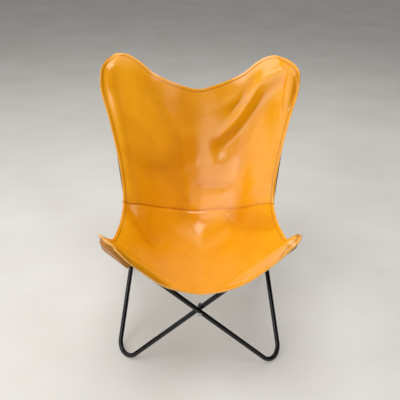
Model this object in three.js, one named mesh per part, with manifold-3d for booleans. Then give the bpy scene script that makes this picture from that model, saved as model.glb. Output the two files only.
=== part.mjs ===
// Folding butterfly sling chair: two bent-tube loops that cross at the front and at the back,
// turn on a bolt at each crossing, and carry a leather sling in four pockets.
// Millimetres, +Z up, the sitter faces -Y, the floor is Z = 0.
import * as THREE from 'three';
import { mergeVertices } from 'three/addons/utils/BufferGeometryUtils.js';
import Module from 'manifold-3d';

const wasm = await Module();
wasm.setup();

// Frame tube
const TUBE_D = 16;
const TUBE_WALL = 1.5;
const TUBE_SIDES = 12;
const BORE_SIDES = 6;
const FIT = 0.3;
const FOOT_FLAT = 0.8;

// Corners of a loop before they are rounded, and the radius of each bend
const FRONT_FOOT_X = 290;
const FRONT_FOOT_Y = -300;
const BACK_FOOT_X = 285;
const BACK_FOOT_Y = 330;
const FOOT_BEND = 51;
const APEX_X = 241;
const DIP_X = 231;
const SIDE_Y = -60;
const APEX_Z = 266;
const SIDE_BEND = 40;
const FRONT_TIP_X = 297;
const FRONT_TIP_Y = -391;
const FRONT_TIP_Z = 556;
const FRONT_TIP_BEND = 28;
const BACK_TIP_X = 361;
const BACK_TIP_Y = 347;
const BACK_TIP_Z = 958;
const BACK_TIP_BEND = 42;
const SPIGOT_LENGTH = 60;

// Pivot bolts
const BOLT_D = 6;
const BOLT_HEAD_D = 13;
const BOLT_HEAD_H = 3.6;
const WASHER_D = 14;
const WASHER_T = 1.2;
const SPACER_T = 2;
const NUT_D = 11.5;
const NUT_H = 9;
const NUT_BORE_H = 6;

// Leather sling
const LEATHER_T = 3;
const FRONT_HEM = 14;
const FRONT_CURL = 3;
const BACK_HEM = 20;
const POCKET_T = 2;
const POCKET_HEM = 12;
const FRONT_POCKET_DEPTH = 44;
const BACK_POCKET_DEPTH = 80;
const SEAM_MIDDLE = 0.5401;
const SEAM_TILT = -0.0095;
const SEAM_FALL = -0.2496;
const SEAM_LEVEL = 0.1153;
const SEAM_LAP = 14;
const DRAPE_ROOM = 5.8;
const HANG_FROM = 15;
const DRAPE_REACH = 440;
const DRAPE_FADE = 120;

const V = (x, y, z) => new THREE.Vector3(x, y, z);
const TUBE_R = TUBE_D / 2;
const LEATHER_LIFT = TUBE_R + FIT + LEATHER_T / 2;

// Rounds the corner b of the route a-b-c with radius r.
function bend(a, b, c, r) {
  const toA = a.clone().sub(b).normalize();
  const toC = c.clone().sub(b).normalize();
  const half = toA.angleTo(toC) / 2;
  const inward = toA.clone().add(toC).normalize();
  const centre = b.clone().addScaledVector(inward, r / Math.sin(half));
  const start = b.clone().addScaledVector(toA, r / Math.tan(half));
  const ex = start.clone().sub(centre).normalize();
  const ey = toA.clone().negate();
  const turn = Math.PI - 2 * half;
  const at = (f) => centre.clone()
    .addScaledVector(ex, r * Math.cos(f * turn))
    .addScaledVector(ey, r * Math.sin(f * turn));
  const along = (f) => ex.clone().multiplyScalar(-Math.sin(f * turn))
    .addScaledVector(ey, Math.cos(f * turn));
  return { centre, half, turn, r, toA, toC, outward: inward.negate(), at, along };
}

// Corners of the loop whose feet stand on side s (-1 left, +1 right). Its tips are on the other side.
function loopCorners(s, frontShift, backShift) {
  return [
    { p: V(s * FRONT_FOOT_X, FRONT_FOOT_Y + frontShift, 0), r: FOOT_BEND, steps: 10 },
    { p: V(s * APEX_X, SIDE_Y, APEX_Z), r: SIDE_BEND, steps: 7 },
    { p: V(s * BACK_FOOT_X, BACK_FOOT_Y + backShift, 0), r: FOOT_BEND, steps: 10 },
    { p: V(-s * BACK_TIP_X, BACK_TIP_Y + backShift, BACK_TIP_Z), r: BACK_TIP_BEND, steps: 12 },
    { p: V(-s * DIP_X, SIDE_Y, APEX_Z), r: SIDE_BEND, steps: 8 },
    { p: V(-s * FRONT_TIP_X, FRONT_TIP_Y + frontShift, FRONT_TIP_Z), r: FRONT_TIP_BEND, steps: 11 },
  ];
}
const [FRONT_FOOT, APEX, BACK_FOOT, BACK_TIP, DIP, FRONT_TIP] = Array(6).keys();

function bendAt(corners, i) {
  const n = corners.length;
  const before = corners[(i + n - 1) % n];
  const after = corners[(i + 1) % n];
  return bend(before.p, corners[i].p, after.p, corners[i].r);
}

function extremeZ(arc, sign) {
  let best = -Infinity;
  for (let k = 0; k <= 60; k += 1) best = Math.max(best, sign * arc.at(k / 60).z);
  return sign * best;
}

function leastDistance(arcA, arcB) {
  let least = Infinity;
  for (let i = 0; i <= 40; i += 1) {
    const p = arcA.at(i / 40);
    for (let k = 0; k <= 40; k += 1) least = Math.min(least, p.distanceTo(arcB.at(k / 40)));
  }
  return least;
}

// Sets the feet on the floor, and each dip of the upper rails on the apex of the legs below it.
function settle(loop, other) {
  for (let pass = 0; pass < 6; pass += 1) {
    for (const i of [FRONT_FOOT, BACK_FOOT]) {
      loop[i].p.z += TUBE_R - FOOT_FLAT - extremeZ(bendAt(loop, i), -1);
    }
    loop[DIP].p.z += TUBE_D + FIT - leastDistance(bendAt(other, APEX), bendAt(loop, DIP));
  }
}

function armCrossing(corners, from, to) {
  const a = corners[from].p;
  const b = corners[to].p;
  return a.clone().lerp(b, a.x / (a.x - b.x));
}

// Least distance along the axis from the crossing to a round face that just clears the tube.
function seatDistance(point, direction, origin, axis, radius) {
  const side = V(1, 0, 0);
  const up = axis.clone().cross(side);
  let m = 0;
  for (let pass = 0; pass < 400; pass += 1) {
    let least = Infinity;
    for (let k = 0; k < 36; k += 1) {
      for (const f of [0, 0.4, 0.7, 1]) {
        const a = k * Math.PI / 18;
        const p = origin.clone().addScaledVector(axis, m)
          .addScaledVector(side, f * radius * Math.cos(a))
          .addScaledVector(up, f * radius * Math.sin(a));
        least = Math.min(least, p.sub(point).cross(direction).length());
      }
    }
    if (least >= TUBE_R + FIT) break;
    m += Math.max(0.002, (TUBE_R + FIT - least) * 0.5);
  }
  return m;
}

// The loop with its feet on the right passes outside the other at both crossings,
// by just the thickness of the spacer there.
function buildRoutes() {
  let front = TUBE_D + SPACER_T;
  let back = TUBE_D + SPACER_T;
  let result;
  for (let pass = 0; pass < 7; pass += 1) {
    const outer = loopCorners(1, -front / 2, back / 2);
    const inner = loopCorners(-1, front / 2, -back / 2);
    for (let k = 0; k < 3; k += 1) {
      settle(outer, inner);
      settle(inner, outer);
    }
    const fo = armCrossing(outer, FRONT_TIP, FRONT_FOOT);
    const fi = armCrossing(inner, FRONT_TIP, FRONT_FOOT);
    const bo = armCrossing(outer, BACK_FOOT, BACK_TIP);
    const bi = armCrossing(inner, BACK_FOOT, BACK_TIP);
    const frontMid = fo.clone().add(fi).multiplyScalar(0.5);
    const backMid = bo.clone().add(bi).multiplyScalar(0.5);
    const axis = backMid.clone().sub(frontMid).normalize();
    const arm = (c, i, j) => c[j].p.clone().sub(c[i].p).normalize();
    const stack = (po, pi, oArm, iArm, mid, inwards) => {
      const zo = po.clone().sub(mid).dot(inwards);
      const zi = pi.clone().sub(mid).dot(inwards);
      const at = (z) => mid.clone().addScaledVector(inwards, z);
      const out = inwards.clone().negate();
      const r = WASHER_D / 2;
      return {
        mid,
        inwards,
        head: zo - seatDistance(po, oArm, at(zo), out, r),
        spacerFrom: zo + seatDistance(po, oArm, at(zo), inwards, r),
        spacerTo: zi - seatDistance(pi, iArm, at(zi), out, r),
        nut: zi + seatDistance(pi, iArm, at(zi), inwards, r),
      };
    };
    const frontStack = stack(fo, fi, arm(outer, FRONT_TIP, FRONT_FOOT),
      arm(inner, FRONT_TIP, FRONT_FOOT), frontMid, axis);
    const backStack = stack(bo, bi, arm(outer, BACK_FOOT, BACK_TIP),
      arm(inner, BACK_FOOT, BACK_TIP), backMid, axis.clone().negate());
    result = { outer, inner, axis, frontStack, backStack };
    front += SPACER_T - (frontStack.spacerTo - frontStack.spacerFrom);
    back += SPACER_T - (backStack.spacerTo - backStack.spacerFrom);
  }
  return result;
}
const { outer, inner, axis, frontStack, backStack } = buildRoutes();

// A route of chosen stations, so that bends get the sections and straights need none.
class Route extends THREE.Curve {
  constructor(points, tangents) {
    super();
    this.points = points;
    this.tangents = tangents;
  }
  station(t) {
    return Math.round(t * (this.points.length - 1));
  }
  getPoint(t, target = new THREE.Vector3()) {
    return target.copy(this.points[this.station(t)]);
  }
  getPointAt(t, target) {
    return this.getPoint(t, target);
  }
  getTangent(t, target = new THREE.Vector3()) {
    return target.copy(this.tangents[this.station(t)]);
  }
  getTangentAt(t, target) {
    return this.getTangent(t, target);
  }
}

// The tube starts and ends at a butt joint in the middle of its back leg.
function loopRoute(corners) {
  const first = corners[APEX].p;
  const second = corners[BACK_FOOT].p;
  const joint = first.clone().lerp(second, 0.5);
  const direction = second.clone().sub(first).normalize();
  const points = [joint.clone().addScaledVector(direction, FIT / 2)];
  const tangents = [direction];
  for (const i of [BACK_FOOT, BACK_TIP, DIP, FRONT_TIP, FRONT_FOOT, APEX]) {
    const arc = bendAt(corners, i);
    const n = corners[i].steps;
    for (let k = 0; k <= n; k += 1) {
      points.push(arc.at(k / n));
      tangents.push(arc.along(k / n));
    }
  }
  points.push(joint.clone().addScaledVector(direction, -FIT / 2));
  tangents.push(direction);
  return { route: new Route(points, tangents), joint, direction };
}

function polygon(radius, sides) {
  const ring = [];
  for (let k = 0; k < sides; k += 1) {
    const a = (k + 0.5) * 2 * Math.PI / sides;
    ring.push(new THREE.Vector2(radius * Math.cos(a), radius * Math.sin(a)));
  }
  return ring;
}

function toManifold(geometry) {
  const bare = new THREE.BufferGeometry();
  bare.setAttribute('position', geometry.getAttribute('position').clone());
  if (geometry.index) bare.setIndex(geometry.index.clone());
  const merged = mergeVertices(bare, 1e-4);
  return new wasm.Manifold(new wasm.Mesh({
    numProp: 3,
    vertProperties: new Float32Array(merged.getAttribute('position').array),
    triVerts: new Uint32Array(merged.index.array),
  }));
}

function fromManifold(solid) {
  const mesh = solid.getMesh();
  const geometry = new THREE.BufferGeometry();
  geometry.setAttribute('position', new THREE.BufferAttribute(mesh.vertProperties, 3));
  geometry.setIndex(new THREE.BufferAttribute(mesh.triVerts, 1));
  geometry.computeVertexNormals();
  return geometry;
}

// Turns a piece that is modelled along +Y onto a line through a point.
function onLine(geometry, point, direction) {
  const turn = new THREE.Quaternion().setFromUnitVectors(V(0, 1, 0), direction);
  geometry.applyQuaternion(turn);
  geometry.translate(point.x, point.y, point.z);
  return geometry;
}

const BOLT_HOLE_D = BOLT_D + 2 * FIT;
const holes = [frontStack, backStack].map((s) => toManifold(onLine(
  new THREE.CylinderGeometry(BOLT_HOLE_D / 2, BOLT_HOLE_D / 2, 4 * TUBE_D, 16), s.mid, s.inwards)));

function frameLoop(corners) {
  const { route } = loopRoute(corners);
  const section = new THREE.Shape(polygon(TUBE_R, TUBE_SIDES));
  section.holes.push(new THREE.Path(polygon(TUBE_R - TUBE_WALL, BORE_SIDES)));
  const tube = new THREE.ExtrudeGeometry(section, {
    steps: route.points.length - 1, extrudePath: route, bevelEnabled: false,
  });
  const floor = new THREE.BoxGeometry(4 * BACK_TIP_X, 4 * BACK_TIP_X, 4 * TUBE_D);
  floor.translate(0, 0, -2 * TUBE_D);
  let solid = toManifold(tube).subtract(toManifold(floor));
  for (const hole of holes) solid = solid.subtract(hole);
  return fromManifold(solid);
}

// A short sleeve inside the tube bridges the butt joint.
function loopSpigot(corners) {
  const { joint, direction } = loopRoute(corners);
  const r = (TUBE_R - TUBE_WALL) * Math.cos(Math.PI / BORE_SIDES) - FIT;
  const wall = TUBE_WALL;
  const half = SPIGOT_LENGTH / 2;
  const outline = [[r - wall, -half], [r, -half], [r, half], [r - wall, half], [r - wall, -half]];
  const sleeve = new THREE.LatheGeometry(outline.map(([x, y]) => new THREE.Vector2(x, y)), 16);
  return onLine(sleeve, joint, direction);
}

function lathe(outline, sides) {
  return new THREE.LatheGeometry(outline.map(([x, y]) => new THREE.Vector2(x, y)), sides);
}

function washer(outerD, boreD, thickness) {
  const ro = outerD / 2;
  const ri = boreD / 2;
  return lathe([[ri, 0], [ro, 0], [ro, thickness], [ri, thickness], [ri, 0]], 16);
}

function domedHead(d, h, steps) {
  const outline = [];
  for (let k = 0; k <= steps; k += 1) {
    const a = k / steps * Math.PI / 2;
    outline.push([d / 2 * Math.sin(a), -h * Math.cos(a)]);
  }
  return outline;
}

// Bolt, washers, spacer and cap nut, in their order from the outer tube inwards.
function pivotPieces(s) {
  const at = (z) => s.mid.clone().addScaledVector(s.inwards, z);
  const headSeat = s.head - WASHER_T - FIT;
  const nutSeat = s.nut + WASHER_T + FIT;
  const shank = nutSeat + NUT_BORE_H - 1 - headSeat;
  const bolt = lathe([...domedHead(BOLT_HEAD_D, BOLT_HEAD_H, 6), [BOLT_D / 2, 0],
    [BOLT_D / 2, shank - 0.6], [BOLT_D / 2 - 0.6, shank], [0, shank]], 16);
  const rb = BOLT_HOLE_D / 2;
  const rn = NUT_D / 2;
  const nut = lathe([[rb, 0], [rn, 0], [rn, NUT_H * 0.45], [rn * 0.86, NUT_H * 0.72],
    [rn * 0.5, NUT_H * 0.94], [0, NUT_H], [0, NUT_BORE_H], [rb, NUT_BORE_H], [rb, 0]], 16);
  const spacerRoom = s.spacerTo - s.spacerFrom;
  return {
    bolt: onLine(bolt, at(headSeat), s.inwards),
    head_washer: onLine(washer(WASHER_D, BOLT_HOLE_D, WASHER_T), at(s.head - WASHER_T), s.inwards),
    spacer: onLine(washer(WASHER_D, BOLT_HOLE_D, spacerRoom), at(s.spacerFrom), s.inwards),
    nut_washer: onLine(washer(WASHER_D, BOLT_HOLE_D, WASHER_T), at(s.nut), s.inwards),
    cap_nut: onLine(nut, at(nutSeat), s.inwards),
  };
}

// Plane of a tip: its bend's centre, the way out to the tip, the way to the rail, and the upper side.
function tipFrame(corners, i, sling) {
  const arc = bendAt(corners, i);
  const toRail = i === BACK_TIP ? arc.toC : arc.toA;
  const out = arc.outward.clone();
  const lat = toRail.clone().addScaledVector(out, -toRail.dot(out)).normalize();
  const up = out.clone().cross(lat);
  if (up.z < 0) up.negate();
  return { centre: arc.centre, half: arc.half, r: arc.r, out, lat, up, ...sling };
}
const FRONT_SLING = { depth: FRONT_POCKET_DEPTH, hem: FRONT_HEM, curl: FRONT_CURL };
const BACK_SLING = { depth: BACK_POCKET_DEPTH, hem: BACK_HEM, curl: 0 };
const tips = {
  frontLeft: tipFrame(outer, FRONT_TIP, FRONT_SLING),
  frontRight: tipFrame(inner, FRONT_TIP, FRONT_SLING),
  backLeft: tipFrame(outer, BACK_TIP, BACK_SLING),
  backRight: tipFrame(inner, BACK_TIP, BACK_SLING),
};

// Point of the sling's rim round a tip, 0 degrees at the tip, positive towards the rail.
function rimPoint(tip, degrees, flare = 0) {
  const a = degrees * Math.PI / 180;
  const rim = tip.r + TUBE_R + tip.hem + flare;
  return tip.centre.clone()
    .addScaledVector(tip.out, rim * Math.cos(a))
    .addScaledVector(tip.lat, rim * Math.sin(a))
    .addScaledVector(tip.up, LEATHER_LIFT - tip.curl);
}

// Free edges of the sling between the tips, which hang a little unevenly.
const LEFT_EDGE = [[-276, -298, 490], [-270, -225, 474], [-268, -120, 459], [-270, -5, 475],
  [-284, 65, 568], [-326, 165, 712], [-360, 235, 810]];
const RIGHT_EDGE = [[276, -298, 490], [268, -225, 474], [264, -120, 459], [267, -5, 475],
  [284, 65, 568], [329, 165, 712], [366, 235, 810]];
// How much wider the hem is round a back tip than at its end: degrees towards the rail, and the width.
const LEFT_FLARE = [[64, 4], [42, -5], [20, -3], [0, 0]];
const RIGHT_FLARE = [[64, 13], [42, 1], [20, -3], [0, 0]];
// The front edge runs from each tip to the middle.
const LEFT_FRONT = [[-282, -401, 543], [-258, -421, 528], [-241, -424, 513], [-213, -422, 484],
  [-181, -417, 452], [-148, -410, 421], [-109, -402, 388], [-69, -394, 366]];
const RIGHT_FRONT = [[287, -406, 538], [275, -420, 524], [246, -421, 495], [200, -414, 451],
  [150, -406, 406], [100, -398, 373], [50, -391, 354]];
const FRONT_MIDDLE = [0, -387, 346];
const TOP_EDGE = [[293, 355, 899], [268, 362, 896], [227, 359, 876], [177, 346, 838],
  [136, 335, 818], [68, 320, 795]];
const TOP_MIDDLE = [0, 315, 780];
const PROFILE = [FRONT_MIDDLE, [0, -250, 303], [0, -120, 284], [0, -10, 284], [0, 75, 318],
  [0, 130, 392], [0, 200, 525], [0, 265, 665], TOP_MIDDLE];

const mirrored = (list, s) => list.map(([x, y, z]) => V(s * x, y, z));
const smooth = (points) => new THREE.CatmullRomCurve3(points, false, 'centripetal');

function sideEdge(points, front, back, flare) {
  return smooth([
    ...[0, 30, 58].map((d) => rimPoint(front, d)),
    ...mirrored(points, 1),
    ...flare.map(([d, wider]) => rimPoint(back, d, wider)),
  ]);
}
const leftEdge = sideEdge(LEFT_EDGE, tips.frontLeft, tips.backLeft, LEFT_FLARE);
const rightEdge = sideEdge(RIGHT_EDGE, tips.frontRight, tips.backRight, RIGHT_FLARE);
const frontEdge = smooth([
  rimPoint(tips.frontLeft, 0),
  ...mirrored(LEFT_FRONT, 1), V(...FRONT_MIDDLE), ...mirrored(RIGHT_FRONT, 1).reverse(),
  rimPoint(tips.frontRight, 0),
]);
const topEdge = smooth([
  ...[0, -20].map((d) => rimPoint(tips.backLeft, d)),
  ...mirrored(TOP_EDGE, -1), V(...TOP_MIDDLE), ...mirrored(TOP_EDGE, 1).reverse(),
  ...[-20, 0].map((d) => rimPoint(tips.backRight, d)),
]);
const profile = smooth(PROFILE.map(([x, y, z]) => V(x, y, z)));

const step = (x) => {
  const t = Math.min(1, Math.max(0, x));
  return t * t * (3 - 2 * t);
};

// Soft folds that run from the tips: start and end in (u, v), height and half-width in millimetres.
const FOLDS = [
  { from: [-0.93, 0.95], to: [-0.72, 0.63], rise: 7, wide: 0.05 },
  { from: [-0.72, 0.97], to: [-0.25, 0.66], rise: -8, wide: 0.07 },
  { from: [0.86, 0.95], to: [0.14, 0.7], rise: -9, wide: 0.06 },
  { from: [0.9, 0.93], to: [0.42, 0.66], rise: 6, wide: 0.05 },
  { from: [0.93, 0.9], to: [0.68, 0.6], rise: -6, wide: 0.05 },
  { from: [0.1, 0.585], to: [0.7, 0.6], rise: 4, wide: 0.025 },
  { from: [-0.92, 0.5], to: [-0.5, 0.37], rise: 6, wide: 0.05 },
  { from: [0.92, 0.5], to: [0.42, 0.42], rise: 6, wide: 0.04 },
];

function foldHeight(u, v) {
  let h = 0;
  for (const f of FOLDS) {
    const dx = f.to[0] - f.from[0];
    const dy = f.to[1] - f.from[1];
    const len2 = dx * dx + dy * dy;
    const s = ((u - f.from[0]) * dx + (v - f.from[1]) * dy) / len2;
    const px = u - f.from[0] - s * dx;
    const py = v - f.from[1] - s * dy;
    const off = Math.hypot(px, py) / f.wide;
    h += f.rise * Math.exp(-off * off) * step((s + 0.1) / 0.35) * step((1.1 - s) / 0.4);
  }
  return h;
}

// How far a point in a tip's plane lies outside the centre line of the bent tube there.
function outsideTube(tip, d, w) {
  const sinH = Math.sin(tip.half);
  const far = Math.hypot(d, w);
  return (d > far * sinH ? far : Math.abs(w) * Math.cos(tip.half) + d * sinH) - tip.r;
}

// Lets the sheet drape over the bent tube at each tip, and over the arm and the rail that run from it.
function seatOnTubes(p) {
  for (const tip of Object.values(tips)) {
    const rel = p.clone().sub(tip.centre);
    const d = rel.dot(tip.out);
    const over = rel.dot(tip.up);
    const q = outsideTube(tip, d, rel.dot(tip.lat));
    const fall = q * q / 55 + Math.max(0, q - HANG_FROM) ** 2 / 4;
    const lift = LEATHER_LIFT + DRAPE_ROOM - fall - over + 3;
    const gain = lift < 6 ? Math.max(0, lift) ** 2 / 12 : lift - 3;
    if (over > -60) p.addScaledVector(tip.up, gain * step((DRAPE_REACH + d) / DRAPE_FADE));
  }
  return p;
}

// Sling surface: a Coons patch through its four edges, drawn to the middle line of the seat and back.
function sling(u, v) {
  const a = (u + 1) / 2;
  const patch = (s, t) => {
    const p = frontEdge.getPointAt(s).multiplyScalar(1 - t).addScaledVector(topEdge.getPointAt(s), t);
    p.addScaledVector(leftEdge.getPointAt(t), 1 - s).addScaledVector(rightEdge.getPointAt(t), s);
    p.addScaledVector(leftEdge.getPointAt(0), -(1 - s) * (1 - t));
    p.addScaledVector(rightEdge.getPointAt(0), -s * (1 - t));
    p.addScaledVector(leftEdge.getPointAt(1), -(1 - s) * t);
    p.addScaledVector(rightEdge.getPointAt(1), -s * t);
    return p;
  };
  const p = patch(a, v);
  const pull = profile.getPointAt(v).sub(patch(0.5, v));
  p.addScaledVector(pull, (1 - u * u) ** 1.5);
  const lean = step((v - 0.35) / 0.3) * 1.1;
  const edge = Math.min(1, (1 - Math.abs(u)) * 9) * Math.min(1, v * 9) * Math.min(1, (1 - v) * 9);
  p.addScaledVector(V(0, -Math.sin(lean), Math.cos(lean)), foldHeight(u, v) * edge);
  return seatOnTubes(p);
}

function slingPoint(u, v) {
  const e = 0.004;
  const p = sling(u, v);
  const u0 = Math.max(-1, u - e);
  const u1 = Math.min(1, u + e);
  const v0 = Math.max(0, v - e);
  const v1 = Math.min(1, v + e);
  const n = sling(u1, v).sub(sling(u0, v)).cross(sling(u, v1).sub(sling(u, v0))).normalize();
  return { p, n };
}

// Corners of the four-sided cells of a net, each to be split from its first corner to its third.
function cells(rows, flipRow) {
  const list = [];
  const n = rows[0].length;
  for (let i = 0; i + 1 < rows.length; i += 1) {
    for (let j = 0; j + 1 < n; j += 1) {
      const cell = [[i, j], [i, j + 1], [i + 1, j + 1], [i + 1, j]];
      if ((i < flipRow) !== (j < (n - 1) / 2)) cell.push(cell.shift());
      list.push(cell);
    }
  }
  return list;
}

// A closed sheet of even thickness from rows of points with normals.
function sheet(rows, thickness, flipRow) {
  const m = rows.length;
  const n = rows[0].length;
  const xyz = [];
  for (const side of [0.5, -0.5]) {
    for (const { p, n: normal } of rows.flat()) {
      const q = p.clone().addScaledVector(normal, side * thickness);
      xyz.push(q.x, q.y, q.z);
    }
  }
  const tri = [];
  const id = (k, i, j) => k * m * n + i * n + j;
  const quad = (a, b, c, d) => tri.push(a, b, c, a, c, d);
  for (const [a, b, c, d] of cells(rows, flipRow)) {
    quad(id(0, ...a), id(0, ...b), id(0, ...c), id(0, ...d));
    quad(id(1, ...a), id(1, ...d), id(1, ...c), id(1, ...b));
  }
  for (let j = 0; j + 1 < n; j += 1) {
    quad(id(0, 0, j), id(1, 0, j), id(1, 0, j + 1), id(0, 0, j + 1));
    quad(id(0, m - 1, j), id(0, m - 1, j + 1), id(1, m - 1, j + 1), id(1, m - 1, j));
  }
  for (let i = 0; i + 1 < m; i += 1) {
    quad(id(0, i, 0), id(0, i + 1, 0), id(1, i + 1, 0), id(1, i, 0));
    quad(id(0, i, n - 1), id(1, i, n - 1), id(1, i + 1, n - 1), id(0, i + 1, n - 1));
  }
  const geometry = new THREE.BufferGeometry();
  geometry.setAttribute('position', new THREE.Float32BufferAttribute(xyz, 3));
  geometry.setIndex(tri);
  geometry.computeVertexNormals();
  return geometry;
}

// Columns crowd towards the edges, where the rims are round.
const COLUMNS = [];
for (let j = -13; j <= 13; j += 1) COLUMNS.push(Math.sin(j / 13 * 1.32) / Math.sin(1.32));

const seamV = (u) => SEAM_MIDDLE + SEAM_TILT * u + SEAM_FALL * u ** 2 + SEAM_LEVEL * u ** 4;
const middleLength = profile.getLength();
const lapV = SEAM_LAP / middleLength;
const stepV = 6 / middleLength;

// Rows of the back panel run from the seam to the top edge, those of the seat panel from the front
// edge to the seam, where its margin steps down and passes under the back panel.
function backRows() {
  const shares = [0];
  const count = 15;
  for (let i = 0; i <= count; i += 1) shares.push(Math.sin(i / count * 1.3) / Math.sin(1.3));
  const at = (u, k) => (k === 0 ? seamV(u) : seamV(u) + lapV + (1 - seamV(u) - lapV) * shares[k]);
  return shares.map((_, k) => COLUMNS.map((u) => slingPoint(u, at(u, k))));
}

function seatRows() {
  const count = 15;
  const rows = [];
  for (let i = 0; i <= count; i += 1) {
    rows.push({ share: 1 - Math.sin((1 - i / count) * 1.3) / Math.sin(1.3), past: -2 * stepV, drop: 0 });
  }
  for (const past of [-stepV, 0, lapV]) rows.push({ share: 1, past, drop: LEATHER_T + FIT });
  return rows.map(({ share, past, drop }) => COLUMNS.map((u) => {
    const { p, n } = slingPoint(u, share < 1 ? (seamV(u) - 2 * stepV) * share : seamV(u) + past);
    return { p: p.addScaledVector(n, -drop), n };
  }));
}
const back = { rows: backRows(), flipRow: -1 };
const seat = { rows: seatRows(), flipRow: 16 };

// Height of the sling's underside over a place in a tip's plane, and how steep it is there.
function underside(tip, { rows, flipRow }) {
  const corner = ([i, j]) => {
    const { p, n } = rows[i][j];
    const rel = p.clone().addScaledVector(n, -LEATHER_T / 2).sub(tip.centre);
    return V(rel.dot(tip.out), rel.dot(tip.lat), rel.dot(tip.up));
  };
  const near = [];
  for (const cell of cells(rows, flipRow)) {
    const [a, b, c, d] = cell.map(corner);
    if (a.length() < 200) near.push(new THREE.Triangle(a, b, c), new THREE.Triangle(a, c, d));
  }
  return (d, w) => {
    let best = { miss: Infinity };
    for (const t of near) {
      const flat = [t.a, t.b, t.c].map((k) => V(k.x, k.y, 0));
      const share = THREE.Triangle.getBarycoord(V(d, w, 0), ...flat, V(0, 0, 0));
      if (!share) continue;
      const miss = -Math.min(share.x, share.y, share.z);
      const over = share.x * t.a.z + share.y * t.b.z + share.z * t.c.z;
      if (miss < best.miss) best = { miss, over, lean: Math.max(0.4, Math.abs(t.getNormal(V(0, 0, 0)).z)) };
      if (miss <= 0) break;
    }
    return best;
  };
}

// Pocket under a tip: it is sewn to the sling along its rim and passes round below the tube.
function pocket(tip, panel, su) {
  const rim = tip.r + TUBE_R + POCKET_HEM;
  const sinH = Math.sin(tip.half);
  const cosH = Math.cos(tip.half);
  const beside = TUBE_R - 0.5;
  const low = -(TUBE_R + POCKET_T / 2 + 3 * FIT);
  const above = underside(tip, panel);
  const room = POCKET_T / 2 + 3 * FIT;
  const point = (d, w) => {
    const { over, lean } = above(d, w);
    const q = outsideTube(tip, d, w);
    const most = over - room / lean;
    const height = Math.min(most, low + (most - low) * step((q - beside) / (rim - tip.r - beside)));
    return tip.centre.clone().addScaledVector(tip.out, d).addScaledVector(tip.lat, w)
      .addScaledVector(tip.up, height);
  };
  const rows = [];
  const count = 13;
  const across = [-1, -0.93, -0.86, -0.78, -0.66, -0.4, 0, 0.4, 0.66, 0.78, 0.86, 0.93, 1];
  for (let i = 0; i <= count; i += 1) {
    const d = -tip.depth + (rim * 0.95 + tip.depth) * Math.sin(i / count * 1.45) / Math.sin(1.45);
    const w = d < rim * sinH ? (rim - d * sinH) / cosH : Math.sqrt(rim * rim - d * d);
    rows.push(across.map((f) => ({ p: point(d, su * w * f), n: V(0, 0, 0) })));
  }
  for (let i = 0; i <= count; i += 1) {
    for (let j = 0; j < across.length; j += 1) {
      const line = (a, b) => b.p.clone().sub(a.p);
      const along = line(rows[Math.max(0, i - 1)][j], rows[Math.min(count, i + 1)][j]);
      const side = line(rows[i][Math.max(0, j - 1)], rows[i][Math.min(across.length - 1, j + 1)]);
      rows[i][j].n = side.cross(along).normalize();
    }
  }
  const clear = toManifold(sheet(panel.rows, LEATHER_T + 2 * FIT, panel.flipRow));
  const pieces = toManifold(sheet(rows, POCKET_T, Infinity)).subtract(clear).decompose();
  pieces.sort((a, b) => b.volume() - a.volume());
  return fromManifold(pieces[0]);
}

const finish = {
  tube: { color: 0x131418, roughness: 0.28, metalness: 0.55 },
  zinc: { color: 0xb4b6b8, roughness: 0.35, metalness: 0.9 },
  leather: { color: 0xe8950c, roughness: 0.38, metalness: 0 },
  suede: { color: 0xa5651c, roughness: 0.75, metalness: 0 },
};

const chair = new THREE.Group();
function add(name, geometry, look) {
  const mesh = new THREE.Mesh(geometry, new THREE.MeshStandardMaterial(finish[look]));
  mesh.name = name;
  chair.add(mesh);
}

add('outer_frame_loop', frameLoop(outer), 'tube');
add('inner_frame_loop', frameLoop(inner), 'tube');
add('outer_loop_spigot', loopSpigot(outer), 'zinc');
add('inner_loop_spigot', loopSpigot(inner), 'zinc');
for (const [place, s] of [['front', frontStack], ['back', backStack]]) {
  for (const [piece, geometry] of Object.entries(pivotPieces(s))) {
    add(`${place}_pivot_${piece}`, geometry, 'zinc');
  }
}
add('sling_back_panel', sheet(back.rows, LEATHER_T, back.flipRow), 'leather');
add('sling_seat_panel', sheet(seat.rows, LEATHER_T, seat.flipRow), 'leather');
add('front_left_pocket', pocket(tips.frontLeft, seat, -1), 'suede');
add('front_right_pocket', pocket(tips.frontRight, seat, 1), 'suede');
add('back_left_pocket', pocket(tips.backLeft, back, -1), 'suede');
add('back_right_pocket', pocket(tips.backRight, back, 1), 'suede');

// The origin is on the floor, in the middle of the chair's outline.
const middle = new THREE.Box3().setFromObject(chair).getCenter(V(0, 0, 0));
for (const mesh of chair.children) mesh.geometry.translate(-middle.x, -middle.y, 0);

export default chair;
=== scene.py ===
import math

import bmesh
import bpy
import numpy as np
from mathutils import Matrix, Vector
from mathutils.bvhtree import BVHTree
from mathutils.kdtree import KDTree


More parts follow.
